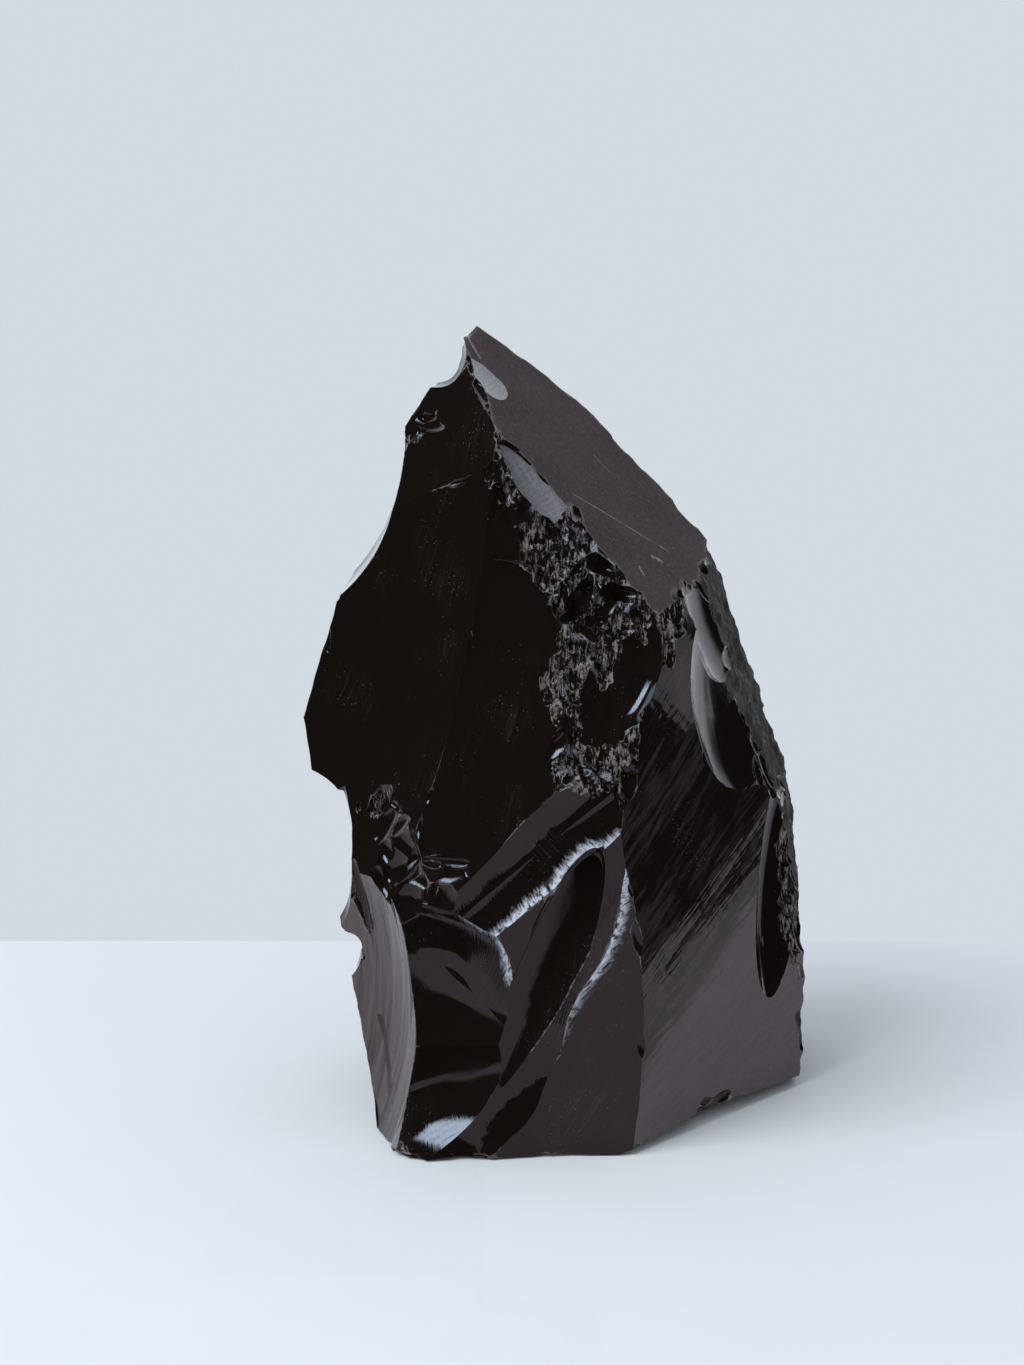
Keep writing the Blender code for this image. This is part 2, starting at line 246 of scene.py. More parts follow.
# Crushed rims, whose white is partly crushed glass and partly a painted highlight: the scar
# that shows it, its neighbour, the middle of the crushed stretch in working millimetres, and how far the
# crushing runs from there either way.
FROSTED_HIGHLIGHT_RIMS = (
    ("scoop", "apron", (0.0, -31.5, 44.0), 21.0),
    ("scoop", "toe", (4.0, -31.5, 49.0), 18.0),
    ("scoop", "spear", (2.0, -31.0, 46.0), 18.0),
    ("toe", "apron", (9.0, -30.0, 38.0), 24.0),
    ("cup", "apron", (-11.0, -29.0, 29.5), 14.0),
    ("cup", "scoop", (-15.0, -29.5, 33.0), 9.0),
)

# How many millimetres the crushing and its painted highlight have drawn back at the end of its
# stretch, and the distances noted where no crushed rim and no ridge is near.
FROST_HIGHLIGHT_FADE = 2.2
NO_FROST_HIGHLIGHT = 20.0
FAR_FROM_EDGE = 6.0

# Plan outlines in metres: the floor, and the table top, which shows only in the glass.
# Where the table top is notched, the glass mirrors the dark of the room. Each lies a hair
# under the stone, the floor the lower.
FLOOR_Z = -0.0002
TABLE_Z = -0.0001
FLOOR = ((-3.0, -3.0), (3.0, -3.0), (3.0, 0.085), (-3.0, 0.085))
TABLE_TOP = ((-0.26, -0.136), (-0.030, -0.136), (-0.0135, -0.0915), (-0.0135, -0.081), (-0.055, -0.083),
             (-0.050, -0.040), (-0.0125, -0.036), (-0.0120, -0.0905), (0.003, -0.090), (0.006, -0.150),
             (0.070, -0.150), (0.075, -0.036), (0.126, -0.014), (0.152, -0.003), (0.211, 0.020),
             (0.30, 0.055), (0.36, 0.015), (0.50, 0.015), (0.50, 0.045), (0.36, 0.045), (0.32, 0.062),
             (0.15, 0.062), (0.12, 0.20), (-0.26, 0.20))

# How glass bends light, and the tint of its own mirroring.
GLASS_IOR = 1.5
GLASS_SHEEN = (0.85, 0.62, 0.66, 1.0)
PLAIN_SHEEN = (1.0, 1.0, 1.0, 1.0)

# Wear with a painted edge highlight within these distances of a ridge, in millimetres: none at
# the first, all at the second. Then the colours of worn, dusty and scratched stone; the glass dust colour
# also paints the edge highlight.
EDGE_WEAR_AND_HIGHLIGHT = (0.14, 0.02)
GLASS_DUST_AND_EDGE_HIGHLIGHT = (0.24, 0.20, 0.19, 1.0)
HACKLE_DUST = (0.25, 0.21, 0.195, 1.0)
CROWN_GRIT = (0.18, 0.12, 0.125, 1.0)
CROWN_SCRATCH = (0.30, 0.27, 0.26, 1.0)
CROWN_WORN = (0.17, 0.135, 0.10, 1.0)
CORTEX_STAIN = (0.050, 0.039, 0.031, 1.0)
CORTEX_WORN = (0.16, 0.13, 0.10, 1.0)
FLAKE_DARK = (0.09, 0.09, 0.095, 1.0)
FLAKE_PALE = (0.20, 0.20, 0.21, 1.0)

# The painted reflection on the flank lies below a slanting line: the way across it, its
# height there and the width over which it fades, in metres.
PAINTED_REFLECTION_AXIS = (-0.42, -0.45, 0.788)
PAINTED_REFLECTION_LINE = 0.022
PAINTED_REFLECTION_FADE = 0.004

# Scratches and bruises on the crown: start and end along and across it from its middle,
# and half width, in millimetres.
CROWN_MARKS = (
    ((-12.5, -35.7), (6.4, -50.8), 0.16),
    ((-3.9, -2.5), (-6.0, -7.5), 0.50),
    ((-7.5, -3.0), (-8.5, -6.0), 0.25),
    ((0.9, -52.0), (-1.4, -50.6), 0.60),
    ((-8.9, -51.4), (-9.8, -52.8), 0.40),
    ((-19.9, -21.4), (-21.3, -24.4), 0.18),
    ((8.0, -30.0), (8.6, -34.0), 0.12),
)

# The dark lance low on the leaf, clear of its painted reflection, from end to end, along and across the
# scar.
LEAF_LANCE = ((-5.5, 11.6), (-16.0, 5.4))

# The window as the glass mirrors it: its heading, its half width and half height at unit
# distance, how soft its sides are, and the tint of its light.
WINDOW_HEADING = (-0.62, -0.42, 0.65)
WINDOW_HALF = (0.30, 0.15)
WINDOW_SOFT = (0.03, 0.05)
WINDOW_TINT = (0.95, 1.55, 1.85)

# Branches outside the window, as cells per unit of heading, and their thickness.
BRANCHES = 9.0
BRANCH_WIDTH = (0.004, 0.03)

# The room as the glass mirrors it: dark in front, and a pale wall that starts between
# two depths behind.
ROOM_DARK = (0.016, 0.014, 0.014, 1.0)
WALL_START = (0.42, 0.60)
WALL_LIFT = 1.45

# The lamp at the window: where it is, what it points at and its size, in metres.
LAMP_PLACE = (-0.60, -0.45, 0.85)
LAMP_AIM = (0.0, 0.0, 0.05)
LAMP_SIZE = (0.7, 0.6)
LAMP_TINT = (0.92, 0.96, 1.0)

# Camera: where the eye is in working millimetres, its downward pitch and its lens.
EYE = (-7.0, -422.0, 154.6)
EYE_PITCH = 11.0
LENS_MM = 67.2


# --------------------------------------------------------------------------------------
# Settings
# --------------------------------------------------------------------------------------


def length_property(name, description, default, least=0.0):
    return bpy.props.FloatProperty(
        name=name, description=description, default=default, min=least, unit="LENGTH"
    )


def colour_property(name, description, default):
    return bpy.props.FloatVectorProperty(
        name=name, description=description, default=default, size=3, subtype="COLOR", min=0.0, max=1.0
    )


class ChunkSettings(bpy.types.PropertyGroup):
    grain: length_property(
        "Scar mesh step", "Distance between mesh points on the smooth scars", 0.9 * MM, 0.3 * MM
    )
    hackle_height: length_property(
        "Hackle height", "Height of the splintered facets of the rough break", 0.9 * MM
    )
    cortex_height: length_property(
        "Cortex height", "Height of the pits and lumps of the weathered skin", 0.55 * MM
    )
    glass_colour: colour_property(
        "Glass", "Body colour of the volcanic glass", (0.0062, 0.0043, 0.0034)
    )
    # Painted reflection: the lighter tone of the flank and the leaf.
    bloom_colour: colour_property(
        "Bloom", "Colour of the haze on the flank and the leaf", (0.064, 0.050, 0.053)
    )
    # Painted highlight: soft grey streaks in the dark scars.
    veil_colour: colour_property(
        "Veils", "Colour of the faint streaks inside the dark scars", (0.022, 0.018, 0.016)
    )
    # Crushed glass and a painted highlight along the rims, and a painted edge highlight on the hackle.
    frost_colour: colour_property(
        "Frost", "Colour of crushed glass along the rims", (0.50, 0.53, 0.60)
    )
    crown_colour: colour_property(
        "Crown", "Colour of the dull flat break on top", (0.029, 0.0160, 0.0185)
    )
    cortex_colour: colour_property(
        "Cortex", "Colour of the weathered skin", (0.016, 0.0125, 0.010)
    )
    glass_roughness: bpy.props.FloatProperty(
        name="Glass roughness",
        description="Roughness of the fresh scars",
        default=0.03,
        min=0.0,
        max=1.0,
        subtype="FACTOR",
    )


class StageSettings(bpy.types.PropertyGroup):
    table_colour: colour_property(
        "Table", "Colour of the table under the chunk", (0.72, 0.735, 0.75)
    )
    wall_colour: colour_property(
        "Wall", "Colour of the room behind the chunk", (0.645, 0.70, 0.76)
    )
    window_glow: bpy.props.FloatProperty(
        name="Window glow",
        description="Brightness of the window as the glass mirrors it",
        default=11.0,
        min=0.0,
    )
    window_power: bpy.props.FloatProperty(
        name="Window power",
        description="Power of the window light at upper left",
        default=9.0,
        min=0.0,
        unit="POWER",
    )


# --------------------------------------------------------------------------------------
# Shader writing
# --------------------------------------------------------------------------------------


class Wire:
    """A node's output that takes part in Python arithmetic."""

    def __init__(self, desk, socket):
        self.desk = desk
        self.socket = socket

    def maths(self, operation, first, second):
        return self.desk.node("ShaderNodeMath", {"operation": operation}, {0: first, 1: second})

    def __add__(self, other):
        return self.maths("ADD", self, other)

    __radd__ = __add__

    def __sub__(self, other):
        return self.maths("SUBTRACT", self, other)

    def __rsub__(self, other):
        return self.maths("SUBTRACT", other, self)

    def __mul__(self, other):
        return self.maths("MULTIPLY", self, other)

    __rmul__ = __mul__

    def __truediv__(self, other):
        return self.maths("DIVIDE", self, other)

    def __rtruediv__(self, other):
        return self.maths("DIVIDE", other, self)


class Desk:
    """Places and wires nodes in one node tree."""

    def __init__(self, tree):
        self.tree = tree
        tree.nodes.clear()

    def node(self, kind, settings=None, inputs=None, output=0):
        """One node: its settings first, then values or links for its sockets."""
        made = self.tree.nodes.new(kind)
        for key, value in (settings or {}).items():
            setattr(made, key, value)
        for key, value in (inputs or {}).items():
            if isinstance(value, Wire):
                self.tree.links.new(value.socket, made.inputs[key])
            else:
                made.inputs[key].default_value = value
        if not made.outputs:
            return made
        return Wire(self, made.outputs[output])

    def mix(self, factor, first, second):
        """Colour between two, by a factor."""
        settings = {"data_type": "RGBA", "clamp_factor": True}
        return self.node("ShaderNodeMix", settings, {0: factor, 6: first, 7: second}, 2)

    def ramp(self, value, low, high):
        """0 below low and 1 above high, smooth between; high may be the lower one."""
        settings = {"interpolation_type": "SMOOTHSTEP"}
        if low < high:
            return self.node("ShaderNodeMapRange", settings, {0: value, 1: low, 2: high})
        return 1.0 - self.ramp(value, high, low)

    def vector(self, operation, first, second=None, output=0):
        inputs = {0: first}
        if second is not None:
            inputs["Scale" if operation == "SCALE" else 1] = second
        return self.node("ShaderNodeVectorMath", {"operation": operation}, inputs, output)

    def noise(self, where, scale, detail=3.0, roughness=0.55):
        inputs = {"Vector": where, "Scale": scale, "Detail": detail, "Roughness": roughness}
        return self.node("ShaderNodeTexNoise", {"noise_dimensions": "3D"}, inputs)

    def cells(self, where, scale, feature="F1"):
        """Distance from the middle, or from the border, of scattered cells."""
        return self.node("ShaderNodeTexVoronoi", {"feature": feature}, {"Vector": where, "Scale": scale})

    def sine(self, value):
        return self.node("ShaderNodeMath", {"operation": "SINE"}, {0: value})

    def place(self):
        """Position in the part's frame, in metres."""
        return self.node("ShaderNodeTexCoord", output=3)

    def on_scar(self):
        """Position on a scar, in millimetres from the blow that made it."""
        return self.node("ShaderNodeUVMap", {"uv_map": "scar"})

    def finish(self, tint, roughness, relief=None, strength=1.0, gloss=None):
        """The shader over a tint, with a relief in millimetres as its bump."""
        inputs = {"Base Color": tint, "Roughness": roughness, **(gloss or {})}
        if relief is not None:
            bump = {"Strength": strength, "Distance": MM, "Height": relief}
            inputs["Normal"] = self.node("ShaderNodeBump", None, bump)
        shader = self.node("ShaderNodeBsdfPrincipled", None, inputs)
        self.node("ShaderNodeOutputMaterial", None, {"Surface": shader})


def rgba(colour):
    return (*colour, 1.0)


def new_material(name):
    """An empty material and the desk to write it on."""
    material = bpy.data.materials.new(name)
    material.use_nodes = True
    return material, Desk(material.node_tree)


def glass_gloss(specular=0.5, sheen=GLASS_SHEEN):
    """The fixed gloss values of a finish of the stone."""
    return {"IOR": GLASS_IOR, "Specular IOR Level": specular, "Specular Tint": sheen}


def scar_space(desk):
    """Distance from the blow that made a scar, and lances that run away from it."""
    place = desk.on_scar()
    distance = desk.vector("LENGTH", place, output=1)
    heading = desk.vector("SCALE", desk.vector("NORMALIZE", place), 110.0)
    drift = desk.node("ShaderNodeCombineXYZ", None, {2: distance * 0.12})
    lances = desk.noise(desk.vector("ADD", heading, drift), 1.0, 2.0, 0.6)
    return distance, lances


def rim_distances(desk):
    """Millimetres to the nearest ridge and to the nearest crushed rim with its painted highlight."""
    edge = desk.node("ShaderNodeAttribute", {"attribute_name": "edge_mm"}, output=2)
    frost_highlight = desk.node("ShaderNodeAttribute", {"attribute_name": "frost_mm"}, output=2)
    return edge, frost_highlight


def from_segment(desk, place, start, end):
    """Distance of a place from the straight line between two points, in its own units."""
    first = Vector((*start, 0.0))
    span = Vector((*end, 0.0)) - first
    offset = desk.vector("SUBTRACT", place, tuple(first))
    share = desk.vector("DOT_PRODUCT", offset, tuple(span / span.length_squared), 1)
    share = desk.node("ShaderNodeClamp", None, {0: share})
    nearest = desk.vector("SCALE", tuple(span), share)
    return desk.vector("DISTANCE", offset, nearest, 1)


def glass_material(colours, name="fresh_glass", painted_reflection=None, streak=0.008):
    """Fresh conchoidal glass: near black and mirror bright, crushed white with a painted highlight at some
    rims, wear with a painted edge highlight at the ridges, and painted highlight streaks in the dark unless
    a painted reflection is given.
    """
    material, desk = new_material(name)
    place = desk.place()
    distance, lances = scar_space(desk)
    edge, frost_highlight = rim_distances(desk)
    cloud = desk.noise(place, 90.0, 3.0)
    ragged = desk.noise(place, 900.0, 4.0, 0.7)
    jitter = ragged - 0.5
    sway = lances - 0.5
    # Crushed glass along the listed rims; its white is partly a painted highlight.
    crushed = desk.ramp(frost_highlight + jitter * 1.5 + sway * 3.2, 2.3, 0.7)
    crushed = crushed * desk.ramp(frost_highlight + jitter * 0.3, 0.10, 0.40)
    # Wear near the ridges, partly a painted edge highlight.
    worn = desk.ramp(edge + jitter * 0.9, *EDGE_WEAR_AND_HIGHLIGHT) * desk.ramp(cloud, 0.50, 0.60)
    dust = desk.ramp(desk.cells(place, 1300.0), 0.16, 0.08) * desk.ramp(cloud + jitter * 0.3, 0.50, 0.62)
    body = rgba(colours.glass_colour)
    # A painted reflection, as on the flank and the leaf, lightens the body towards its colour.
    if painted_reflection:
        body = desk.mix(painted_reflection(desk, place, lances), body, rgba(colours.bloom_colour))
    else:
        # Painted highlight: soft streaks that lighten the dark scars.
        painted_streaks = desk.ramp(lances, 0.42, 0.85) * desk.ramp(cloud, 0.50, 0.66)
        body = desk.mix(painted_streaks * 0.8, body, rgba(colours.veil_colour))
    tint = desk.mix(worn * 0.45 + dust * 0.30, body, GLASS_DUST_AND_EDGE_HIGHLIGHT)
    # Whiten the crushed rims: crushed glass and a painted highlight.
    frost_highlight_mask = crushed * desk.ramp(ragged + sway * 0.5, 0.34, 0.56)
    tint = desk.mix(frost_highlight_mask, tint, rgba(colours.frost_colour))
    relief = desk.sine(distance * 2.6 + cloud * 9.0) * 0.0012 + sway * streak
    relief = relief + sway * desk.ramp(frost_highlight, 7.0, 2.0) * 0.05 + lances * crushed * 0.30
    relief = relief + ragged * (worn * 0.2 + crushed * 0.2)
    roughness = colours.glass_roughness + crushed * 0.34 + worn * 0.30 + dust * 0.3
    desk.finish(tint, roughness, relief, gloss=glass_gloss())
    return material


def flank_material(colours):
    """The side scar: faint painted reflection streaks above a slanting line and a soft painted reflection
    below it.
    """

    def painted_reflection(desk, place, lances):
        fall = desk.vector("DOT_PRODUCT", place, PAINTED_REFLECTION_AXIS, 1)
        streaks = desk.noise(place, 70.0, 3.0) - 0.5
        height = fall + (lances - 0.5) * 0.012 + streaks * 0.006
        below = desk.ramp(height, PAINTED_REFLECTION_LINE, PAINTED_REFLECTION_LINE - PAINTED_REFLECTION_FADE)
        return below * 0.85 + desk.ramp(lances + streaks * 0.8, 0.40, 0.70) * 0.35

    return glass_material(colours, "flank_glass", painted_reflection, 0.016)


def leaf_material(colours):
    """The long scar on the left: a painted reflection in upright streaks, left off along one dark lance."""

    def painted_reflection(desk, place, lances):
        on_leaf = desk.vector("ADD", desk.on_scar(), (*LEAF_FORCE, 0.0))
        streaks = desk.noise(desk.vector("MULTIPLY", on_leaf, (0.05, 0.9, 0.0)), 1.0, 3.0)
        away = from_segment(desk, on_leaf, *LEAF_LANCE)
        clear = desk.ramp(away + (lances - 0.5) * 0.4, 0.3, 0.9)
        return desk.ramp(streaks, 0.22, 0.62) * clear

    return glass_material(colours, "leaf_glass", painted_reflection, 0.012)


def flake_material(colours):
    """A thin scar near the crown: milky grey, with fine rings round the blow."""
    material, desk = new_material("milky_flake")
    distance, lances = scar_space(desk)
    fine = desk.noise(desk.place(), 1500.0, 3.0, 0.7)
    rings = desk.sine(distance * 7.0 + fine * 2.0)
    milk = desk.ramp(rings * 0.05 + lances + fine * 0.3, 0.3, 1.0)
    tint = desk.mix(milk, FLAKE_DARK, FLAKE_PALE)
    roughness = 0.28 + (fine - 0.5) * 0.2
    desk.finish(tint, roughness, rings * 0.004 + fine * 0.03, gloss=glass_gloss(sheen=PLAIN_SHEEN))
    return material


def crown_material(colours):
    """The flat top: a dull, finely grained break with small bruises and hairline scratches."""
    material, desk = new_material("dull_crown")
    place = desk.place()
    on_top = desk.vector("ADD", desk.on_scar(), (*CROWN_FORCE, 0.0))
    edge, _ = rim_distances(desk)
    grain = desk.noise(place, 1500.0, 3.0, 0.7)
    coarse = desk.noise(place, 420.0, 4.0, 0.7)
    cloud = desk.noise(place, 60.0, 3.0)
    jitter = coarse - 0.5
    lighter = tuple(1.5 * value for value in colours.crown_colour)
    mottle = desk.ramp(cloud + jitter * 0.8, 0.30, 0.70)
    tint = desk.mix(mottle, rgba(colours.crown_colour), rgba(lighter))
    tint = desk.mix(desk.ramp(grain, 0.54, 0.70) * 0.45, tint, CROWN_GRIT)
    tint = desk.mix(desk.ramp(grain, 0.47, 0.33) * 0.85, tint, rgba(colours.glass_colour))
    marks = 0.0
    for start, end, width in CROWN_MARKS:
        away = from_segment(desk, on_top, start, end)
        marks = desk.ramp(away + jitter * 1.5 * width, width, 0.3 * width) + marks
    tint = desk.mix(marks * desk.ramp(grain, 0.36, 0.52) * 0.7, tint, CROWN_SCRATCH)
    worn = desk.ramp(edge + jitter * 2.4, 0.7, 0.1)
    tint = desk.mix(worn * 0.45, tint, CROWN_WORN)
    roughness = 0.55 + (grain - 0.5) * 0.3
    relief = grain * 0.05 + coarse * 0.05 + marks * 0.04
    desk.finish(tint, roughness, relief, 0.8, glass_gloss(0.09))
    return material


def hackle_material(colours):
    """The splintered break: glossy upright steps with a dusting of crushed glass, and wear with a painted
    edge highlight at the ridges.
    """
    material, desk = new_material("hackled_glass")
    place = desk.place()
    edge, _ = rim_distances(desk)
    upright = desk.vector("MULTIPLY", place, (1.0, 1.0, 0.3))
    splinters = desk.cells(upright, 1100.0)
    fine = desk.noise(upright, 1500.0, 4.0, 0.7)
    broad = desk.noise(place, 240.0, 3.0)
    crushed = desk.ramp(fine * 0.85 + broad * 0.25, 0.54, 0.66)
    worn = desk.ramp(edge + (fine - 0.5) * 0.6, *EDGE_WEAR_AND_HIGHLIGHT) * desk.ramp(broad, 0.48, 0.60)
    tint = desk.mix(crushed * 0.75, rgba(colours.glass_colour), HACKLE_DUST)
    # Painted edge highlight mixed with wear near the ridges, in the frost colour.
    tint = desk.mix(worn * 0.25, tint, rgba(colours.frost_colour))
    roughness = 0.09 + crushed * 0.35 + worn * 0.25
    desk.finish(tint, roughness, splinters * 0.16 + fine * 0.12, gloss=glass_gloss())
    return material


def cortex_material(colours):
    """Weathered skin: dark, rough and pitted, with soft brown staining."""
    material, desk = new_material("weathered_cortex")
    place = desk.place()
    edge, _ = rim_distances(desk)
    fine = desk.noise(place, 900.0, 5.0, 0.7)
    broad = desk.noise(place, 130.0, 4.0)
    coarse = desk.noise(place, 330.0, 5.0, 0.7)
    stain = desk.ramp(broad * 0.4 + coarse * 0.6, 0.36, 0.68)
    skin = desk.mix(stain, rgba(colours.cortex_colour), CORTEX_STAIN)
    bare = desk.ramp(fine * 0.6 + coarse * 0.4, 0.50, 0.40)
    skin = desk.mix(bare * 0.7, skin, rgba(colours.glass_colour))
    worn = desk.ramp(edge + (fine - 0.5) * 1.2, 0.4, 0.0) * desk.ramp(coarse, 0.46, 0.62)
    skin = desk.mix(worn * 0.25, skin, CORTEX_WORN)
    relief = fine * 0.25 + coarse * 0.2 + broad * 0.2
    desk.finish(skin, 0.62 - bare * 0.25, relief, gloss=glass_gloss(0.08))
    return material


# --------------------------------------------------------------------------------------
# Knapping
# --------------------------------------------------------------------------------------


def spot(point):
    """Working millimetres to the part's frame in metres."""
    return (Vector(point) - Vector(ORIGIN)) * MM


def outward(facing):
    """The direction that a facing looks in."""
    azimuth, tilt = (math.radians(angle) for angle in facing)
    level = math.cos(tilt)
    return Vector((math.sin(azimuth) * level, -math.cos(azimuth) * level, math.sin(tilt)))


def break_axes(facing, roll):
    """Rotation whose X is the scar's long axis and whose Z looks out of the rock."""
    azimuth = math.radians(facing[0])
    normal = outward(facing)
    level = Vector((math.cos(azimuth), math.sin(azimuth), 0.0))
    uphill = normal.cross(level)
    turn = math.radians(roll)
    long_axis = level * math.cos(turn) + uphill * math.sin(turn)
    short_axis = normal.cross(long_axis)
    return Matrix((long_axis, short_axis, normal)).transposed()


def break_matrix(scar):
    """From a scar's own axes and metres to the part's frame."""
    return Matrix.Translation(spot(scar.at)) @ break_axes(scar.facing, scar.roll).to_4x4()


def swell(x, y, seed, height, length):
    """Slow uneven waves."""
    dice = np.random.default_rng(seed)
    total = np.zeros_like(x)
    for _ in range(WAVES):
        heading = dice.uniform(0.0, 2.0 * math.pi)
        pitch = 2.0 * math.pi / (length * dice.uniform(0.5, 1.6))
        phase = dice.uniform(0.0, 2.0 * math.pi)
        total += np.sin(pitch * (x * math.cos(heading) + y * math.sin(heading)) + phase)
    return height * total / math.sqrt(WAVES)


def ripples(scar, x, y, seed):
    """Waves round the blow, and grooves running away from it."""
    dice = np.random.default_rng(seed + 1)
    east = x - scar.force[0]
    north = y - scar.force[1]
    reach = np.hypot(east, north)
    height = scar.ripple * np.sin(RIPPLE_PITCH * reach + 0.6 * np.sin(0.23 * reach))
    span = math.hypot(*scar.force)
    toward = math.atan2(-scar.force[1], -scar.force[0])
    turned = np.arctan2(north, east) - toward
    swing = np.arctan2(np.sin(turned), np.cos(turned))
    for _ in range(FLUTES):
        pitch = 2.0 * math.pi * span / dice.uniform(*FLUTE_WIDTHS)
        height += scar.flute / math.sqrt(FLUTES) * np.sin(pitch * swing + dice.uniform(0.0, 6.3))
    return height


def facets(x, y, seed, cell, slope):
    """A crazy paving of tilted flat facets."""
    column = np.floor(x / cell).astype(int)
    row = np.floor(y / cell).astype(int)
    nearest = np.full(x.shape, 1e9)
    height = np.zeros_like(x)
    for dc in (-1, 0, 1):
        for dr in (-1, 0, 1):
            c = column + dc
            r = row + dr
            draws = scramble(c, r, seed)
            away_x = x - (c + draws[0]) * cell
            away_y = y - (r + draws[1]) * cell
            away = away_x * away_x + away_y * away_y
            tip_x, tip_y, lift = (draw - 0.5 for draw in draws[2:])
            level = slope * (tip_x * away_x + tip_y * away_y + lift * cell)
            closer = away < nearest
            height = np.where(closer, level, height)
            nearest = np.where(closer, away, nearest)
    return height


def scramble(column, row, seed):
    """Five repeatable random numbers from 0 to 1 for each cell of a grid."""
    draws = []
    for turn in range(5):
        mixed = np.sin(column * 127.1 + row * 311.7 + (seed + turn) * 74.7) * 43758.5453
        draws.append(mixed - np.floor(mixed))
    return draws


def seed_of(name):
    """A number of its own for each break, from its name."""
    return sum((index + 1) * ord(letter) for index, letter in enumerate(name))


def skin_height(scar, x, y, settings):
    """Height of a scar's surface over its rim plane, in millimetres."""
    length, width, depth = scar.size
    away = np.hypot(x / length, y / width)
    power, heading = scar.curl
    lean = np.cos(np.arctan2(y / width, x / length) - math.radians(heading))
    height = depth * (away ** (2.0 + (power - 2.0) * np.clip(lean, 0.0, 1.0)) - 1.0)
    seed = seed_of(scar.name)
    if scar.finish in (GLASS, FLANK, FLAKE, LEAF):
        height += swell(x, y, seed, *(FLANK_WAVES if scar.finish == FLANK else SCAR_WAVES))
        height += ripples(scar, x, y, seed)
    if scar.finish == CROWN:
        height += swell(x, y, seed, *CROWN_WAVES)
    if scar.finish == HACKLE:
        tall = settings.hackle_height / MM
        turn = math.radians(scar.roll)
        level = x * math.cos(turn) - y * math.sin(turn)
        upright = x * math.sin(turn) + y * math.cos(turn)
        for layer, (cell, skew, squeeze) in enumerate(SPLINTERS):
            across = level + skew * upright
            height += tall * facets(across, upright * squeeze, seed + 9 * layer, cell, SPLINTER_SLOPE)
    if scar.finish == CORTEX:
        tall = settings.cortex_height / MM
        layers = enumerate(CORTEX_WAVES)
        lumps = sum(swell(x, y, seed + 3 * layer, share * tall, span) for layer, (share, span) in layers)
        height += lumps - tall
    if scar.name == "base":
        height = np.minimum(swell(x, y, seed, *BASE_WAVES) - BASE_SINK, 0.0)
    return height


def slab_block(half_x, half_y, step, lid, surface):
    """A closed block whose underside is a height field over a rectangle."""
    across = np.linspace(-half_x, half_x, max(int(2.0 * half_x / step), 8))
    along = np.linspace(-half_y, half_y, max(int(2.0 * half_y / step), 8))
    columns = len(across)
    rows = len(along)
    x, y = np.meshgrid(across, along)
    grid = np.dstack((x, y, surface(x, y)))
    top = grid.copy()
    top[:, :, 2] = lid
    points = np.vstack((grid.reshape(-1, 3), top[0], top[-1], top[1:-1, 0], top[1:-1, -1]))
    size = columns * rows
    low = np.arange(size).reshape(rows, columns)
    first = size + np.arange(columns)
    last = first + columns
    inner = last[-1] + 1 + np.arange(rows - 2)
    left = np.concatenate(([first[0]], inner, [last[0]]))
    right = np.concatenate(([first[-1]], inner + rows - 2, [last[-1]]))
    floor = np.stack((low[:-1, :-1], low[1:, :-1], low[1:, 1:], low[:-1, 1:]), -1).reshape(-1, 4)
    sides = [
        np.stack((low[0, :-1], low[0, 1:], first[1:], first[:-1]), -1),
        np.stack((low[-1, 1:], low[-1, :-1], last[:-1], last[1:]), -1),
        np.stack((low[1:, 0], low[:-1, 0], left[:-1], left[1:]), -1),
        np.stack((low[:-1, -1], low[1:, -1], right[1:], right[:-1]), -1),
    ]
    quads = np.vstack((floor, *sides)).tolist()
    border = [*first.tolist(), *right[1:].tolist(), *last[-2::-1].tolist(), *left[-2:0:-1].tolist()]
    return points, quads + [border]


def disc_block(length, width, step, lid, surface):
    """A closed plug whose underside is a height field over an ellipse."""
    rings = max(int(REACH * math.sqrt(length * width) / step), 8)
    spokes = max(int(5.0 * max(length, width) / step), 14)
    away = REACH * (np.arange(rings) + 1.0) / rings
    turn = 2.0 * math.pi * np.arange(spokes) / spokes
    x = length * np.outer(away, np.cos(turn))
    y = width * np.outer(away, np.sin(turn))
    low = np.dstack((x, y, np.minimum(surface(x, y), lid - 0.5)))
    centre = surface(np.zeros((1, 1)), np.zeros((1, 1)))[0, 0]
    top = low[-1].copy()
    top[:, 2] = lid
    points = np.vstack(([[0.0, 0.0, centre]], low.reshape(-1, 3), top))
    ring = 1 + np.arange((rings + 1) * spokes).reshape(rings + 1, spokes)
    after = np.roll(ring, -1, axis=1)
    quads = np.stack((ring[:-1], ring[1:], after[1:], after[:-1]), -1).reshape(-1, 4)[:, ::-1]
    fan = [[0, int(after[0, k]), int(ring[0, k])] for k in range(spokes)]
    return points, quads.tolist() + fan + [ring[-1].tolist()]


def tag_faces(data, owners):
    """Note on each face the number of the break that it belongs to."""
    layer = data.attributes.new("cut", "INT", "FACE")
    layer.data.foreach_set("value", owners)


def cutter_block(scar, settings):
    """The points and faces of the stone that one blow takes away, in the part's frame."""
    length, width, depth = scar.size
    step = settings.grain / MM
    if scar.finish == HACKLE:
        step *= FINE_STEP
    if max(length, width) < SMALL_BREAK:
        step *= FINE_STEP
    if scar.name.startswith(COARSE_BREAKS):
        step *= COARSE_STEP

    def surface(x, y):
        return skin_height(scar, x, y, settings)

    if depth > 0.0:
        points, faces = disc_block(length, width, step, BOWL_LID, surface)
    else:
        points, faces = slab_block(length, width, step, FLAT_LID, surface)
    turn = np.array(break_matrix(scar))
    return points * MM @ turn[:3, :3].T + turn[:3, 3], faces


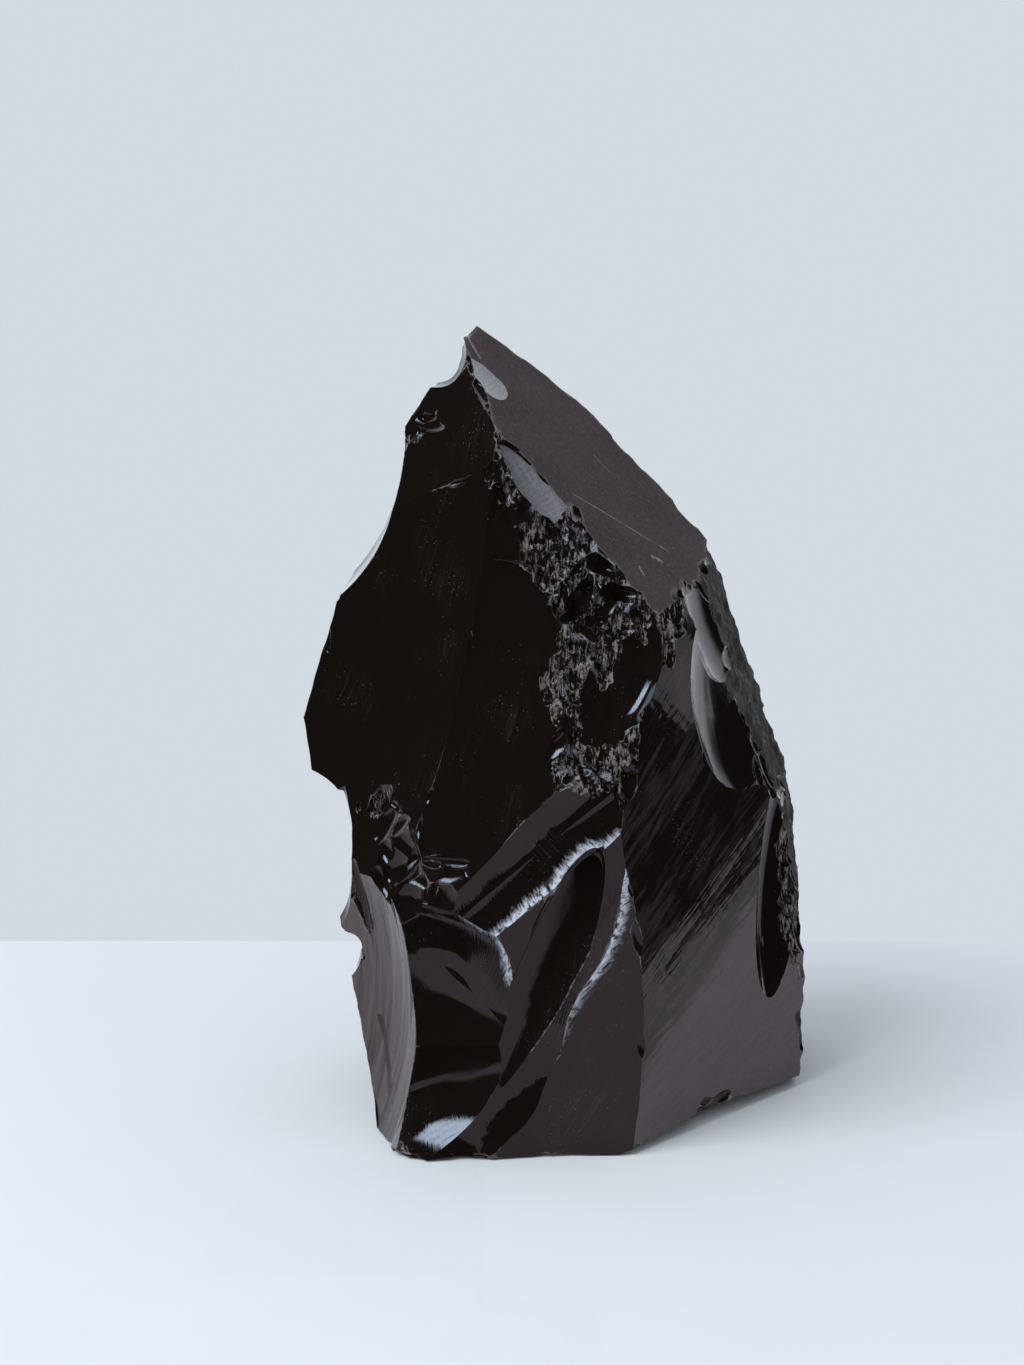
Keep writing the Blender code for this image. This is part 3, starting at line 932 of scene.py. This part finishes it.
def cutter_of(scars, settings, collection):
    """One cutter object for several blows that don't touch; faces know their break."""
    points = []
    faces = []
    owners = []
    count = 0
    for index, scar in scars:
        place, corners = cutter_block(scar, settings)
        points += place.tolist()
        faces += [[count + corner for corner in face] for face in corners]
        owners += [index] * len(corners)
        count += len(place)
    data = bpy.data.meshes.new(scars[0][1].name)
    data.from_pydata(points, [], faces)
    tag_faces(data, owners)
    cutter = bpy.data.objects.new(data.name, data)
    collection.objects.link(cutter)
    return cutter


def batches(breaks, first):
    """Group the blows so that none in a group touches another; numbers run from first.

    A bowl's cutter is held by a ball round its middle, and a flat break stands alone.
    """
    groups = []
    for index, scar in enumerate(breaks, first):
        length, width, depth = scar.size
        if depth == 0.0:
            groups.append(([(index, scar)], None))
            continue
        centre = Vector(scar.at) + outward(scar.facing) * BALL_RISE
        radius = math.hypot(REACH * max(length, width), BOWL_LID - BALL_RISE)
        for scars, balls in groups:
            if balls and all((centre - other).length > radius + size for other, size in balls):
                scars.append((index, scar))
                balls.append((centre, radius))
                break
        else:
            groups.append(([(index, scar)], [(centre, radius)]))
    return [scars for scars, _ in groups]


def scattered(patch):
    """Small random bites spread over a patch of the stone."""
    dice = random.Random(patch.seed)
    axes = break_axes(patch.facing, patch.roll)
    for index in range(patch.count):
        along = (2.0 * (index + dice.random()) / patch.count - 1.0) * patch.spread[0]
        across = dice.uniform(-1.0, 1.0) * patch.spread[1]
        centre = Vector(patch.centre) + axes @ Vector((along, across, 0.0))
        azimuth = patch.facing[0] + dice.uniform(-BITE_TURN, BITE_TURN)
        tilt = patch.facing[1] + dice.uniform(-BITE_TIP, BITE_TIP)
        scale = dice.uniform(0.7, 1.3)
        size = tuple(value * scale for value in patch.size)
        roll = dice.uniform(0.0, 180.0)
        name = "%s_%02d" % (patch.name, index)
        yield Break(name, tuple(centre), (azimuth, tilt), size, roll, patch.finish, SMALL_FORCE, 0.0)


def rim_nibbles():
    """Random bites out of the weathered rim."""
    dice = random.Random(NIBBLE_SEED)
    low = Vector(NIBBLE_LOW)
    high = Vector(NIBBLE_HIGH)
    for index in range(NIBBLES):
        centre = low.lerp(high, (index + dice.uniform(0.2, 0.8)) / NIBBLES)
        facing = (dice.uniform(*NIBBLE_AZIMUTHS), dice.uniform(*NIBBLE_TILTS))
        scale = dice.uniform(0.7, 1.4)
        size = tuple(value * scale for value in NIBBLE_BITE)
        roll = dice.uniform(*NIBBLE_ROLLS)
        yield Break("nibble_%02d" % index, tuple(centre), facing, size, roll, CORTEX, SMALL_FORCE, 0.0)


def all_breaks():
    bites = [bite for patch in PATCHES for bite in scattered(patch)]
    return [*CLEAVES, *STRIKES, *bites, *rim_nibbles()]


def ridge_chips(ridges, breaks):
    """Tiny flakes lost from the ridges, most of them from the rough and dull breaks."""
    dice = random.Random(CHIP_SEED)
    worth = [WEAR.get(scar.name.split("_")[0], USUAL_WEAR) for scar in breaks] + [SKIN_WEAR]
    ridges = sorted(ridges, key=lambda ridge: tuple(round(value, 6) for value in ridge[0]))
    weights = []
    for start, end, pair, _ in ridges:
        weights.append((end - start).length * max(worth[pair[0]], worth[pair[1]]))
    for index, ridge in enumerate(dice.choices(ridges, weights, k=CHIPS)):
        start, end, pair, lean = ridge
        at = start.lerp(end, dice.random()) / MM + Vector(ORIGIN)
        azimuth = math.degrees(math.atan2(lean.x, -lean.y)) + dice.uniform(-CHIP_TURN, CHIP_TURN)
        tilt = math.degrees(math.asin(max(-1.0, min(1.0, lean.z)))) + dice.uniform(-CHIP_TIP, CHIP_TIP)
        facing = (azimuth, max(-STEEPEST, min(STEEPEST, tilt)))
        along = break_axes(facing, 0.0).inverted() @ (end - start)
        roll = math.degrees(math.atan2(along.y, along.x)) + dice.uniform(-CHIP_TIP, CHIP_TIP)
        scale = dice.uniform(0.45, 1.0) ** 1.5
        size = (CHIP[0] * scale * dice.uniform(0.8, 1.4), CHIP[1] * scale, CHIP[2] * scale)
        at -= outward(facing) * (0.15 * scale)
        finish = CORTEX if min(pair) < 0 else GLASS
        yield Break("chip_%03d" % index, tuple(at), facing, size, roll, finish, (3.0, 0.0), 0.01)


def nodule_mesh(settings):
    """The whole nodule before any break, with its weathered skin."""
    mesh = bmesh.new()
    bmesh.ops.create_uvsphere(mesh, u_segments=180, v_segments=150, radius=1.0)
    cortex = settings.cortex_height / MM
    for vertex in mesh.verts:
        x, y, z = vertex.co
        lump = 0.35 * math.sin(9 * x + 4 * z) * math.cos(7 * y) + 0.25 * math.sin(31 * x + 17 * y + 23 * z)
        shrink = 1.0 - cortex * (0.6 + lump) / NODULE_MEAN
        swollen = Vector((x * NODULE_RADII[0], y * NODULE_RADII[1], z * NODULE_RADII[2]))
        vertex.co = swollen * shrink * MM
    lean = Matrix.Rotation(math.radians(NODULE_LEAN), 4, "Y")
    place = Matrix.Translation(spot(NODULE_CENTRE)) @ lean
    bmesh.ops.transform(mesh, matrix=place, verts=mesh.verts)
    data = bpy.data.meshes.new("nodule")
    mesh.to_mesh(data)
    mesh.free()
    tag_faces(data, np.full(len(data.polygons), -1, dtype=np.int32))
    return data


def cut_away(stone, breaks, first, settings):
    """Take the stone of every blow away, one Boolean for each group of them."""
    flakes = bpy.data.collections.new("flakes")
    bpy.context.scene.collection.children.link(flakes)
    cutters = [cutter_of(group, settings, flakes) for group in batches(breaks, first)]
    for cutter in cutters:
        cut = stone.modifiers.new(cutter.name, "BOOLEAN")
        cut.operation = "DIFFERENCE"
        cut.solver = "MANIFOLD"
        cut.object = cutter
    graph = bpy.context.evaluated_depsgraph_get()
    data = bpy.data.meshes.new_from_object(stone.evaluated_get(graph))
    stone.modifiers.clear()
    old = stone.data
    stone.data = data
    bpy.data.meshes.remove(old)
    for cutter in cutters:
        mesh = cutter.data
        bpy.data.objects.remove(cutter, do_unlink=True)
        bpy.data.meshes.remove(mesh)
    bpy.data.collections.remove(flakes)


def mark_ridges(data, breaks):
    """Make edges sharp where two breaks meet; lists each with its breaks and its lean."""
    mesh = bmesh.new()
    mesh.from_mesh(data)
    layer = mesh.faces.layers.int["cut"]
    rough = {index for index, scar in enumerate(breaks) if scar.finish in (HACKLE, CORTEX)}
    ridges = []
    for edge in mesh.edges:
        if len(edge.link_faces) != 2:
            edge.smooth = False
            continue
        one, two = edge.link_faces
        pair = (one[layer], two[layer])
        meets = pair[0] != pair[1]
        angle = edge.calc_face_angle(0.0)
        stepped = pair[0] in rough and angle > math.radians(SPLINTER_ANGLE)
        edge.smooth = not (stepped or meets and angle > math.radians(CREASE_ANGLE))
        if meets and angle > math.radians(RIDGE_ANGLE):
            lean = (one.normal + two.normal).normalized()
            ridges.append((edge.verts[0].co.copy(), edge.verts[1].co.copy(), pair, lean))
    for face in mesh.faces:
        face.smooth = True
    mesh.to_mesh(data)
    mesh.free()
    return ridges


def points_on(ridges):
    """Points along a set of ridge edges, close enough together to measure from."""
    points = []
    for start, end, _, _ in ridges:
        count = max(int((end - start).length / RIDGE_SPACING), 1)
        points += [start.lerp(end, index / count) for index in range(count + 1)]
    return points


def distance_tree(points):
    """A search tree that finds the nearest of the points."""
    tree = kdtree.KDTree(max(len(points), 1))
    for index, point in enumerate(points):
        tree.insert(point, index)
    tree.balance()
    return tree


def measure_rims(data, breaks, ridges):
    """Per corner: distances to ridges and to crushed rims with their painted highlight, and the place on the
    scar.
    """
    names = [scar.name for scar in breaks]
    corners = len(data.loops)
    owners = np.empty(len(data.polygons), dtype=np.int32)
    data.attributes["cut"].data.foreach_get("value", owners)
    totals = np.empty(len(data.polygons), dtype=np.int32)
    data.polygons.foreach_get("loop_total", totals)
    owner = np.repeat(owners, totals)
    vertex = np.empty(corners, dtype=np.int32)
    data.loops.foreach_get("vertex_index", vertex)
    points = np.empty(len(data.vertices) * 3)
    data.vertices.foreach_get("co", points)
    points = points.reshape(-1, 3)
    tree = distance_tree(points_on(ridges))
    edge = np.array([min(tree.find(point)[2] / MM, FAR_FROM_EDGE) for point in points])[vertex]
    frost_highlight = np.full(corners, NO_FROST_HIGHLIGHT)
    for first, second, middle, span in FROSTED_HIGHLIGHT_RIMS:
        pair = {names.index(first), names.index(second)}
        chosen = [ridge for ridge in ridges if set(ridge[2]) == pair]
        if not chosen:
            continue
        tree = distance_tree(points_on(chosen))
        mine = np.nonzero(owner == names.index(first))[0]
        away = np.array([tree.find(points[vertex[corner]])[2] / MM for corner in mine])
        along = np.linalg.norm(points[vertex[mine]] - np.array(spot(middle)), axis=1) / MM
        frost_highlight[mine] = np.minimum(frost_highlight[mine], away + FROST_HIGHLIGHT_FADE * (along / span) ** 2)
    place = np.zeros((corners, 2))
    for index, scar in enumerate(breaks):
        mine = np.nonzero(owner == index)[0]
        turn = np.array(break_matrix(scar).inverted())
        local = points[vertex[mine]] @ turn[:3, :3].T + turn[:3, 3]
        place[mine] = local[:, :2] / MM - np.array(scar.force)
    skin = np.nonzero(owner < 0)[0]
    place[skin] = points[vertex[skin]][:, (0, 2)] / MM
    for name, values in (("edge_mm", edge), ("frost_mm", frost_highlight)):
        layer = data.attributes.new(name, "FLOAT", "CORNER")
        layer.data.foreach_set("value", values.astype(np.float32))
    layer = data.uv_layers.new(name="scar")
    layer.uv.foreach_set("vector", place.astype(np.float32).ravel())


def assign_finishes(data, breaks, settings):
    """Make the materials in the order of their numbers, and give each face its own."""
    makers = {
        GLASS: glass_material,
        CROWN: crown_material,
        HACKLE: hackle_material,
        CORTEX: cortex_material,
        FLANK: flank_material,
        FLAKE: flake_material,
        LEAF: leaf_material,
    }
    data.materials.clear()
    for finish in sorted(makers):
        data.materials.append(makers[finish](settings))
    owners = np.empty(len(data.polygons), dtype=np.int32)
    data.attributes["cut"].data.foreach_get("value", owners)
    finishes = np.array([scar.finish for scar in breaks] + [CORTEX], dtype=np.int32)
    data.polygons.foreach_set("material_index", finishes[owners])


class OBSIDIAN_OT_chunk(bpy.types.Operator):
    """Break the nodule down to the chunk and dress its surface"""

    bl_idname = "obsidian.chunk"
    bl_label = "Chunk"

    def execute(self, context):
        settings = context.scene.obsidian_chunk
        breaks = all_breaks()
        stone = bpy.data.objects.new("knapped_chunk", nodule_mesh(settings))
        context.scene.collection.objects.link(stone)
        cut_away(stone, breaks, 0, settings)
        ridges = mark_ridges(stone.data, breaks)
        chips = list(ridge_chips(ridges, breaks))
        cut_away(stone, chips, len(breaks), settings)
        breaks += chips
        ridges = mark_ridges(stone.data, breaks)
        if len(stone.data.polygons) < FEWEST_FACES:
            raise RuntimeError("the chunk was cut away")
        measure_rims(stone.data, breaks, ridges)
        assign_finishes(stone.data, breaks, settings)
        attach(stone, "root")
        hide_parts(NODE)
        return {"FINISHED"}


# --------------------------------------------------------------------------------------
# Stage
# --------------------------------------------------------------------------------------


def sheet(name, outline, z, material):
    """A flat sheet of the stage with a plan outline in metres."""
    data = bpy.data.meshes.new(name)
    data.from_pydata([(x, y, z) for x, y in outline], [], [tuple(range(len(outline)))])
    data.materials.append(material)
    piece = bpy.data.objects.new(name, data)
    bpy.context.scene.collection.objects.link(piece)
    return piece


def table_material(settings):
    """The table: plain and pale, with a faint grain."""
    material, desk = new_material("pale_table")
    grain = desk.noise(desk.place(), 60.0, 5.0, 0.6)
    darker = tuple(0.97 * value for value in settings.table_colour)
    tint = desk.mix(grain, rgba(darker), rgba(settings.table_colour))
    desk.finish(tint, 0.8)
    return material


def add_lamp(power):
    """The soft light that falls in at the window."""
    lamp = bpy.data.lights.new("window", "AREA")
    lamp.shape = "RECTANGLE"
    lamp.size, lamp.size_y = LAMP_SIZE
    lamp.energy = power
    lamp.color = LAMP_TINT
    piece = bpy.data.objects.new("window", lamp)
    piece.location = LAMP_PLACE
    aim = Vector(LAMP_AIM) - Vector(LAMP_PLACE)
    piece.rotation_euler = aim.to_track_quat("-Z", "Y").to_euler()
    piece.visible_glossy = False
    bpy.context.scene.collection.objects.link(piece)


def window_pane(desk, heading):
    """How much of the window is seen along a heading, with branches outside it."""
    forward = Vector(WINDOW_HEADING).normalized()
    aside = forward.cross(Vector((0.0, 0.0, 1.0))).normalized()
    upward = aside.cross(forward)
    reach = desk.vector("DOT_PRODUCT", heading, tuple(forward), 1)
    pane = desk.ramp(reach, 0.0, 0.1)
    for axis, half, soft in zip((aside, upward), WINDOW_HALF, WINDOW_SOFT):
        offset = desk.vector("DOT_PRODUCT", heading, tuple(axis), 1) / reach
        pane = pane * desk.ramp(offset, half, half - soft) * desk.ramp(offset, -half, soft - half)
    branches = desk.cells(heading, BRANCHES, "DISTANCE_TO_EDGE")
    return pane * desk.ramp(branches, *BRANCH_WIDTH)


def room_world(settings):
    """What the glass mirrors: a pale wall behind, a dark room in front, and a window."""
    world = bpy.data.worlds.new("room")
    bpy.context.scene.world = world
    world.use_nodes = True
    desk = Desk(world.node_tree)
    heading = desk.node("ShaderNodeTexCoord", output=0)
    depth = desk.node("ShaderNodeSeparateXYZ", None, {0: heading}, 1)
    pale = tuple(WALL_LIFT * value for value in settings.wall_colour)
    room = desk.mix(desk.ramp(depth, *WALL_START), ROOM_DARK, rgba(pale))
    sky = tuple(settings.window_glow * value for value in WINDOW_TINT)
    room = desk.mix(window_pane(desk, heading), room, rgba(sky))
    mirrored = desk.node("ShaderNodeLightPath", output=3)
    colour = desk.mix(mirrored, rgba(settings.wall_colour), room)
    glow = desk.node("ShaderNodeBackground", None, {"Color": colour, "Strength": 1.0})
    desk.node("ShaderNodeOutputWorld", None, {"Surface": glow})


def add_camera():
    """The camera that frames the whole chunk from the front."""
    lens = bpy.data.cameras.new("camera")
    lens.lens = LENS_MM
    lens.sensor_width = 36.0
    lens.clip_start = 0.01
    camera = bpy.data.objects.new("camera", lens)
    camera.location = spot(EYE)
    camera.rotation_euler = (math.radians(90.0 - EYE_PITCH), 0.0, 0.0)
    bpy.context.scene.collection.objects.link(camera)
    bpy.context.scene.camera = camera


class OBSIDIAN_OT_stage(bpy.types.Operator):
    """Lay the table, light it and set up the camera"""

    bl_idname = "obsidian.stage"
    bl_label = "Stage"

    def execute(self, context):
        settings = context.scene.obsidian_stage
        material = table_material(settings)
        floor = sheet("floor", FLOOR, FLOOR_Z, material)
        floor.visible_glossy = False
        mirrored = sheet("table_top", TABLE_TOP, TABLE_Z, material)
        mirrored.visible_camera = False
        mirrored.visible_diffuse = False
        mirrored.visible_shadow = False
        add_lamp(settings.window_power)
        room_world(settings)
        add_camera()
        context.scene.view_settings.view_transform = "Standard"
        return {"FINISHED"}


class OBSIDIAN_PT_sidebar(bpy.types.Panel):
    """Lists the sizes, the colours and the operators"""

    bl_idname = "OBSIDIAN_PT_sidebar"
    bl_label = "Obsidian"
    bl_space_type = "VIEW_3D"
    bl_region_type = "UI"
    bl_category = "Obsidian"

    def draw(self, context):
        for settings in (context.scene.obsidian_chunk, context.scene.obsidian_stage):
            box = self.layout.box()
            for name in settings.bl_rna.properties.keys():
                if name not in ("rna_type", "name"):
                    box.prop(settings, name)
        self.layout.operator(OBSIDIAN_OT_chunk.bl_idname)
        self.layout.operator(OBSIDIAN_OT_stage.bl_idname)


CLASSES = (ChunkSettings, StageSettings, OBSIDIAN_OT_chunk, OBSIDIAN_OT_stage, OBSIDIAN_PT_sidebar)


def register():
    for item in CLASSES:
        bpy.utils.register_class(item)
    bpy.types.Scene.obsidian_chunk = bpy.props.PointerProperty(type=ChunkSettings)
    bpy.types.Scene.obsidian_stage = bpy.props.PointerProperty(type=StageSettings)


def unregister():
    del bpy.types.Scene.obsidian_stage
    del bpy.types.Scene.obsidian_chunk
    for item in reversed(CLASSES):
        bpy.utils.unregister_class(item)


def main():
    register()
    bpy.ops.obsidian.stage()
    bpy.ops.obsidian.chunk()


if __name__ == "__main__":
    main()
